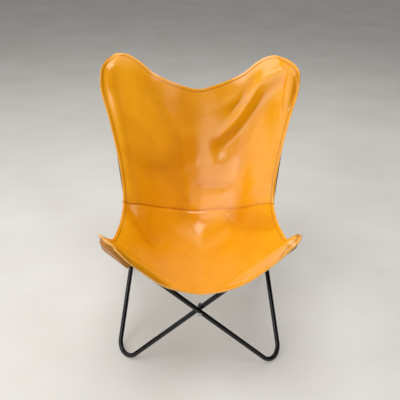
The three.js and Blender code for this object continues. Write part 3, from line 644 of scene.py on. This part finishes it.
# Creases in the same form: the hide turns sharply along the path and is flat again at its widths.
CREASES = [
    ([(-0.885, 0.944), (-0.845, 0.882), (-0.82, 0.786), (-0.82, 0.706), (-0.835, 0.61),
      (-0.86, 0.5)], -5, 60, 44),
    ([(-0.62, 0.98), (-0.505, 0.954), (-0.375, 0.92), (-0.265, 0.872), (-0.18, 0.83),
      (-0.15, 0.778), (-0.16, 0.69), (-0.12, 0.58)], -13, 330, 100),
    ([(-0.75, 0.556), (-0.59, 0.604), (-0.345, 0.662), (-0.13, 0.70)], -8, 100, 100),
    ([(-0.97, 0.445), (-0.89, 0.404), (-0.775, 0.348), (-0.52, 0.28)], -14, 150, 80),
    ([(0.30, 0.51), (0.385, 0.462), (0.625, 0.382), (0.93, 0.265)], -14, 100, 60),
]
CREASE_R = 4.0
# Both fade out at their ends: they start this share of their length before the path does.
FADE_PAST, FADE_IN, FADE_OUT = 0.12, 0.4, 0.28


def beside(path, x, y):
    """Distance of points from a path, positive on its left hand, and the share along it, which
    runs on past its ends."""
    legs = np.diff(path, axis=0)
    size = np.linalg.norm(legs, axis=1)
    start = np.concatenate([[0], np.cumsum(size)])
    best, off, along = np.full_like(x, FAR), np.zeros_like(x), np.zeros_like(x)
    for k, leg in enumerate(legs):
        way = leg / size[k]
        s = (x - path[k, 0]) * way[0] + (y - path[k, 1]) * way[1]
        low = -FAR if k == 0 else 0
        high = FAR if k == len(legs) - 1 else size[k]
        c = np.clip(s, low, high)
        dx, dy = x - path[k, 0] - c * way[0], y - path[k, 1] - c * way[1]
        far = np.hypot(dx, dy)
        nearer = far < best
        best = np.where(nearer, far, best)
        off = np.where(nearer, np.sign(way[0] * dy - way[1] * dx) * far, off)
        along = np.where(nearer, (start[k] + c) / start[-1], along)
    return off, along


def fold_height(u, v):
    """Rise of all folds and creases together."""
    total = np.zeros_like(u)
    for rows, sharp in ((FOLDS, False), (CREASES, True)):
        for path, rise, wide_left, wide_right in rows:
            flat_path = np.array(path) * (HALF_WIDTH, LENGTH)
            off, along = beside(flat_path, u * HALF_WIDTH, v * LENGTH)
            wide = np.where(off > 0, wide_left, wide_right)
            if sharp:
                shape = np.maximum(0, 1 - (np.hypot(off, CREASE_R) - CREASE_R) / wide) ** 2
            else:
                shape = np.exp(-(off / wide) ** 2)
            total += (rise * shape * ease((along + FADE_PAST) / FADE_IN)
                      * ease((1 + FADE_PAST - along) / FADE_OUT))
    return total


def drape(p):
    """Lifts the hide clear of the tube over each of the four tips."""
    for tip in (FRONT_LEFT, FRONT_RIGHT, BACK_LEFT, BACK_RIGHT):
        rel = p - tip.centre
        d, over = rel @ tip.out, rel @ tip.up
        q = tip.outside(d, rel @ tip.lat)
        fall = q * q / CREST_FALL + np.maximum(0, q - HANG_FROM) ** 2 / HANG_FALL
        lift = LEATHER_LIFT + DRAPE_ROOM - fall - over + DRAPE_SOFT
        gain = np.where(lift < 2 * DRAPE_SOFT, np.maximum(0, lift) ** 2 / (4 * DRAPE_SOFT),
                        lift - DRAPE_SOFT)
        gain = np.where(over > -DRAPE_DEEP, gain * ease((DRAPE_REACH + d) / DRAPE_FADE), 0)
        p = p + gain[:, None] * tip.up
    return p


def patch(s, t):
    """Sheet between the four edges, without its middle line: s runs across and t along it."""
    across, along = s[:, None], t[:, None]
    return ((1 - along) * front_line(s) + along * top_line(s)
            + (1 - across) * left_line(t) + across * right_line(t)
            - (1 - across) * (1 - along) * line_ends[0] - (1 - across) * along * line_ends[1]
            - across * (1 - along) * line_ends[2] - across * along * line_ends[3])


def sling(u, v):
    """Middle of the hide: u runs from the left edge -1 to the right 1, v from front 0 to top 1."""
    p = patch((u + 1) / 2, v)
    pull = np.maximum(0, 1 - u * u) ** CROWN
    p = p + (middle_line(v) - patch(0.5 * np.ones_like(u), v)) * pull[:, None]
    lean = ease((v - LEAN_FROM) / LEAN_OVER) * LEAN
    edge = (np.minimum(1, (1 - abs(u)) * FOLD_EDGE) * np.minimum(1, v * FOLD_EDGE)
            * np.minimum(1, (1 - v) * FOLD_EDGE))
    rise = fold_height(u, v) * edge
    p = p + rise[:, None] * np.stack([0 * u, -np.sin(lean), np.cos(lean)], 1)
    return drape(p)


def hide_normal(u, v):
    across = sling(np.minimum(1, u + PROBE), v) - sling(np.maximum(-1, u - PROBE), v)
    along = sling(u, np.minimum(1, v + PROBE)) - sling(u, np.maximum(0, v - PROBE))
    n = np.cross(across, along)
    return n / np.linalg.norm(n, axis=1)[:, None]


rim_steps = np.linspace(0, 1, RIM_STEPS)
rim_0, rim_1, rim_across = 0 * rim_steps, 1 + 0 * rim_steps, 2 * rim_steps - 1
rim_points = sling(np.concatenate([-rim_1, rim_1, rim_across, rim_across]),
                   np.concatenate([rim_steps, rim_steps, rim_0, rim_1]))
rim_tree = KDTree(len(rim_points))
for i, p in enumerate(rim_points):
    rim_tree.insert(p, i)
rim_tree.balance()


def from_rim(points):
    """Distance of points from the sling's rim."""
    return np.array([rim_tree.find(p)[2] for p in points])


def seam(u):
    return SEAM_MIDDLE + SEAM_TILT * u + SEAM_BOW * u ** 2 + SEAM_ENDS * u ** 4


# Hide panels


def crowded(half_length):
    """Shares from -1 to 1 that crowd to both ends, where the turned edge and its stitches are."""
    inner_half = half_length - EDGE_BAND
    inner = list(np.linspace(0, inner_half, int(inner_half / SPACING) + 1))
    outer = [half_length - x for x in EDGE_ROWS]
    half = np.array(inner + outer) / half_length
    return np.concatenate([-half[:0:-1], half])


def lay_out(bm, flat, up):
    """Turns a sheet's faces to its upper side, and maps it as its flat cut, in metres."""
    bmesh.ops.recalc_face_normals(bm, faces=bm.faces)
    bm.faces.ensure_lookup_table()
    if np.array(bm.faces[len(bm.faces) // 2].normal) @ up < 0:
        bmesh.ops.reverse_faces(bm, faces=bm.faces)
    cut = bm.loops.layers.uv.new("hide")
    bm.verts.index_update()
    for face in bm.faces:
        for corner in face.loops:
            corner[cut].uv = flat[corner.vert.index] * MM


def thicken(made, label, thickness):
    wall = made.modifiers.new(label, "SOLIDIFY")
    wall.thickness, wall.offset = thickness * MM, 0
    wall.material_offset, wall.material_offset_rim = 1, 2
    return wall


def hide_panel(name, across, along, v_at, drop_at):
    """Cuts a panel of the hide on a grid and shapes it to the sling, its turned edges thicker."""
    last_column, last_row = len(across) - 1, len(along) - 1
    bm = bmesh.new()
    bmesh.ops.create_grid(bm, x_segments=last_column, y_segments=last_row, size=0.5)
    ij = np.array([[(v.co.x + 0.5) * last_column, (v.co.y + 0.5) * last_row] for v in bm.verts])
    ij = np.rint(ij).astype(int)
    u = across[ij[:, 0]]
    v = v_at(u, along[ij[:, 1]])
    p = sling(u, v) - drop_at(u, v)[:, None] * hide_normal(u, v)
    for vert, place in zip(bm.verts, to_frame(p)):
        vert.co = place
    lay_out(bm, np.stack([u * HALF_WIDTH, v * LENGTH], 1), np.array([0, 0, 1]))
    made = piece(name, bm, HIDE, SUEDE, HIDE_EDGE)
    edge_mm = from_rim(p)
    # The fold attribute tells the hide where to paint shade in valleys, and wear with painted sheen
    # on ridges.
    fold = np.clip(0.5 + fold_height(u, v) / FOLD_TONE, 0, 1)
    for label, values in (("edge_mm", edge_mm), ("fold", fold)):
        layer = made.data.attributes.new(label, "FLOAT", "POINT")
        layer.data.foreach_set("value", values.astype(np.float32))
    # The edge is turned over: thicker for about 10 mm, then pressed thin along the stitches.
    turn = 1 - ease((edge_mm - TURN_END) / TURN_FADE)
    press = np.exp(-((edge_mm - STITCH_INSET) / PRESS_WIDE) ** 2)
    thick = np.clip(PLAIN + (1 - PLAIN) * turn - PRESSED * press, THINNEST, 1)
    hem = made.vertex_groups.new(name="hem")
    for k, weight in enumerate(thick):
        hem.add([k], float(weight), "REPLACE")
    wall = thicken(made, "hide_thickness", TURNED_T)
    wall.vertex_group, wall.thickness_vertex_group = "hem", 0
    rounding = made.modifiers.new("rubbed_edge", "BEVEL")
    rounding.width, rounding.segments, rounding.profile = EDGE_ROUND * MM, 3, 0.5
    rounding.limit_method, rounding.angle_limit = "ANGLE", EDGE_SHARP
    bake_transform(made)
    return made


columns = crowded(HALF_WIDTH)
rows = crowded(PANEL_HALF)
back_rows = np.concatenate([np.linspace(0, 0.5, 50)[:-1], 0.5 + rows[rows >= 0] / 2])
# The seat's last rows are closer, where it steps down under the back panel.
seat_rows = np.concatenate([0.5 + rows[rows < 0] / 2, np.linspace(0.5, 0.955, 46),
                            np.linspace(0.962, 1, 12)])

back_panel = hide_panel("back_hide", columns, back_rows,
                        lambda u, r: seam(u) + (1 - seam(u)) * r, lambda u, v: 0 * u)
seat_panel = hide_panel(
    "seat_hide", columns, seat_rows, lambda u, r: (seam(u) + LAP) * r,
    lambda u, v: (LEATHER_T + FIT) * ease((v - seam(u) + 2 * LAP_STEP) / LAP_STEP))
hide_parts("sling_back_panel")
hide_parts("sling_seat_panel")


# Stitches


def sewn_row(name, u, v, lift):
    """Sews a row of stitches on the hide, each a short rounded bead, `lift` mm above its middle."""
    normals = hide_normal(u, v)
    line = sling(u, v) + normals * lift
    far = np.concatenate([[0], np.cumsum(np.linalg.norm(np.diff(line, axis=0), axis=1))])
    spots = np.arange(STITCH_PITCH / 2, far[-1], STITCH_PITCH)

    def at(s, values):
        return np.stack([np.interp(s, far, values[:, k]) for k in range(3)], 1)

    bm = bmesh.new()
    ways = at(spots + 1, line) - at(spots - 1, line)
    size = Matrix.Diagonal((STITCH_LENGTH / 2 * MM, STITCH_R * MM, STITCH_R * MM, 1))
    for p, n, w in zip(to_frame(at(spots, line)), at(spots, normals), ways):
        x = unit(w)
        z = unit(n - x * (n @ x))
        turn = Matrix((x, np.cross(z, x), z)).transposed().to_4x4()
        bmesh.ops.create_uvsphere(bm, u_segments=6, v_segments=4, radius=1,
                                  matrix=Matrix.Translation(p) @ turn @ size)
    made = piece(name, bm, THREAD)
    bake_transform(made)
    return made


def inset_line(start_u, start_v, inset):
    """Moves points of the sling's rim inwards until they lie `inset` mm from it."""
    low, high = np.zeros_like(start_u), np.full_like(start_u, INSET_MOST)
    for _ in range(INSET_HALVINGS):
        f = (low + high) / 2
        u, v = start_u * (1 - f), start_v + (0.5 - start_v) * f
        near = from_rim(sling(u, v)) < inset
        low, high = np.where(near, f, low), np.where(near, high, f)
    return start_u * (1 - high), start_v + (0.5 - start_v) * high


ring = np.linspace(0, 1, 401)[:-1]
ring_u = np.concatenate([2 * ring - 1, 1 + 0 * ring, 1 - 2 * ring, -1 + 0 * ring])
ring_v = np.concatenate([0 * ring, ring, 1 + 0 * ring, 1 - ring])
sewn_u, sewn_v = inset_line(ring_u, ring_v, STITCH_INSET)
edge_stitches = sewn_row("edge_stitches", np.append(sewn_u, sewn_u[0]),
                         np.append(sewn_v, sewn_v[0]), EDGE_STITCH_LIFT)

seam_u = np.linspace(-SEAM_REACH, SEAM_REACH, 301)
seam_rows = [sewn_row(f"seam_stitches_{k + 1}", seam_u, seam(seam_u) + inset / MIDDLE_LENGTH,
                      SEAM_STITCH_LIFT)
             for k, inset in enumerate(SEAM_INSETS)]


# Pockets


def surface_tree(panel):
    return BVHTree.FromPolygons([v.co.copy() for v in panel.data.vertices],
                                [tuple(f.vertices) for f in panel.data.polygons])


def pocket(name, tip, tree, side, sag, body, node_name):
    """A pocket of thinner hide, sewn under the sling along its rim and sagging below the tube."""
    rim = tip.r + TUBE_R + POCKET_HEM
    mouth = rim * POCKET_LIP + tip.depth
    s, c = math.sin(tip.half), math.cos(tip.half)
    wrap, low = TUBE_R - HUG, -(TUBE_R + POCKET_T / 2 + 3 * FIT)
    under = (TURNED_T + POCKET_T) / 2 + FIT
    bm = bmesh.new()
    bmesh.ops.create_grid(bm, x_segments=POCKET_COLUMNS, y_segments=POCKET_ROWS, size=0.5)
    flat = []
    for vert in bm.verts:
        f = math.sin(vert.co.x * 2 * CROWD_ACROSS) / math.sin(CROWD_ACROSS)
        d = -tip.depth + mouth * math.sin((vert.co.y + 0.5) * CROWD_ALONG) / math.sin(CROWD_ALONG)
        w = (rim - d * s) / c if d < rim * s else math.sqrt(rim * rim - d * d)
        w *= f * side
        flat.append((w, d))
        start = Vector(to_frame(tip.place([d], [w], [RAY_FROM]))[0])
        hit, normal, _, _ = tree.ray_cast(start, Vector(-tip.up))
        if hit is None:
            hit, normal, _, _ = tree.find_nearest(Vector(to_frame(tip.place([d], [w], [0]))[0]))
        normal = np.array(normal) * np.sign(np.array(normal) @ tip.up)
        sewn = np.array(hit) / MM - ORIGIN - normal * under
        slack = sag * ease((tip.r - d) / (tip.r + tip.depth))
        loose = tip.place([d], [w], [min(low - slack, (sewn - tip.centre) @ tip.up)])[0]
        q = float(tip.outside(np.array([d]), np.array([w]))[0])
        rise = float(ease((q - wrap) / (rim - tip.r - wrap)))
        vert.co = to_frame(loose + (sewn - loose) * rise)
    lay_out(bm, np.array(flat), tip.up)
    made = piece(name, bm, SUEDE, SUEDE, HIDE_EDGE)
    thicken(made, "pocket_thickness", POCKET_T)
    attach(made, body)
    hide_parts(node_name)
    return made


seat_tree, back_tree = surface_tree(seat_panel), surface_tree(back_panel)
pockets = [
    pocket("front_left_pouch", FRONT_LEFT, seat_tree, -1, 12, "outer_body", "front_left_pocket"),
    pocket("front_right_pouch", FRONT_RIGHT, seat_tree, 1, 12, "inner_body", "front_right_pocket"),
    pocket("back_left_pouch", BACK_LEFT, back_tree, -1, 0, "outer_body", "back_left_pocket"),
    pocket("back_right_pouch", BACK_RIGHT, back_tree, 1, 0, "inner_body", "back_right_pocket"),
]


# Studio


def floor_plane():
    """Matt paper floor, pale and faintly mottled, that keeps the chair's shadow."""
    made, tree = blank("matt_paper_floor")
    place = node(tree, "ShaderNodeTexCoord", {}).outputs["Object"]
    mottle = node(tree, "ShaderNodeTexNoise", {
        "Vector": place, "Scale": marks(400), "Detail": 3.0}).outputs["Fac"]
    tone = node(tree, "ShaderNodeValToRGB", {"Fac": mottle},
                stops=[(0.3, "#D2CEC7"), (0.7, "#DAD7D1")]).outputs["Color"]
    rays = node(tree, "ShaderNodeLightPath", {}).outputs
    seen = node(tree, "ShaderNodeMath", {
        0: rays["Is Camera Ray"], 1: rays["Is Glossy Ray"]}).outputs[0]
    seen = node(tree, "ShaderNodeMath", {0: seen, 1: rays["Is Transmission Ray"]}).outputs[0]
    glow = node(tree, "ShaderNodeMath", {0: seen, 1: FLOOR_GLOW}, operation="MULTIPLY").outputs[0]
    shader = node(tree, "ShaderNodeBsdfPrincipled", {
        "Base Color": tone, "Roughness": 0.8, "Emission Color": tone, "Emission Strength": glow})
    node(tree, "ShaderNodeOutputMaterial", {"Surface": shader.outputs[0]})
    bm = bmesh.new()
    bmesh.ops.create_grid(bm, x_segments=FLOOR_CELLS, y_segments=FLOOR_CELLS, size=FLOOR_HALF)
    piece("floor", bm, made)


def soft_lamp(name, place, aim, size, power):
    lamp = bpy.data.lights.new(name, "AREA")
    lamp.shape, lamp.size, lamp.size_y, lamp.energy = "RECTANGLE", size[0], size[1], power
    held = bpy.data.objects.new(name, lamp)
    held.location = place
    held.rotation_euler = (Vector(aim) - Vector(place)).to_track_quat("-Z", "Y").to_euler()
    bpy.context.scene.collection.objects.link(held)


floor_plane()
for lamp_row in LAMPS:
    soft_lamp(*lamp_row)

world = bpy.data.worlds.new("studio")
world.use_nodes = True
world.node_tree.nodes.clear()
sky = node(world.node_tree, "ShaderNodeBackground", {
    "Color": srgb("#E6E9EE"), "Strength": WORLD_STRENGTH})
node(world.node_tree, "ShaderNodeOutputWorld", {"Surface": sky.outputs[0]})
bpy.context.scene.world = world
bpy.context.scene.view_settings.view_transform = "Standard"

camera = bpy.data.cameras.new("photo_view")
camera.lens, camera.sensor_width = LENS, SENSOR
held = bpy.data.objects.new("photo_view", camera)
held.location = CAMERA_PLACE
held.rotation_euler = (Matrix.Rotation(math.radians(CAMERA_TURN), 3, "Z")
                       @ Matrix.Rotation(math.radians(CAMERA_PITCH), 3, "X")
                       @ Matrix.Rotation(math.radians(CAMERA_ROLL), 3, "Z")).to_euler()
bpy.context.scene.collection.objects.link(held)
bpy.context.scene.camera = held

bpy.context.view_layer.update()
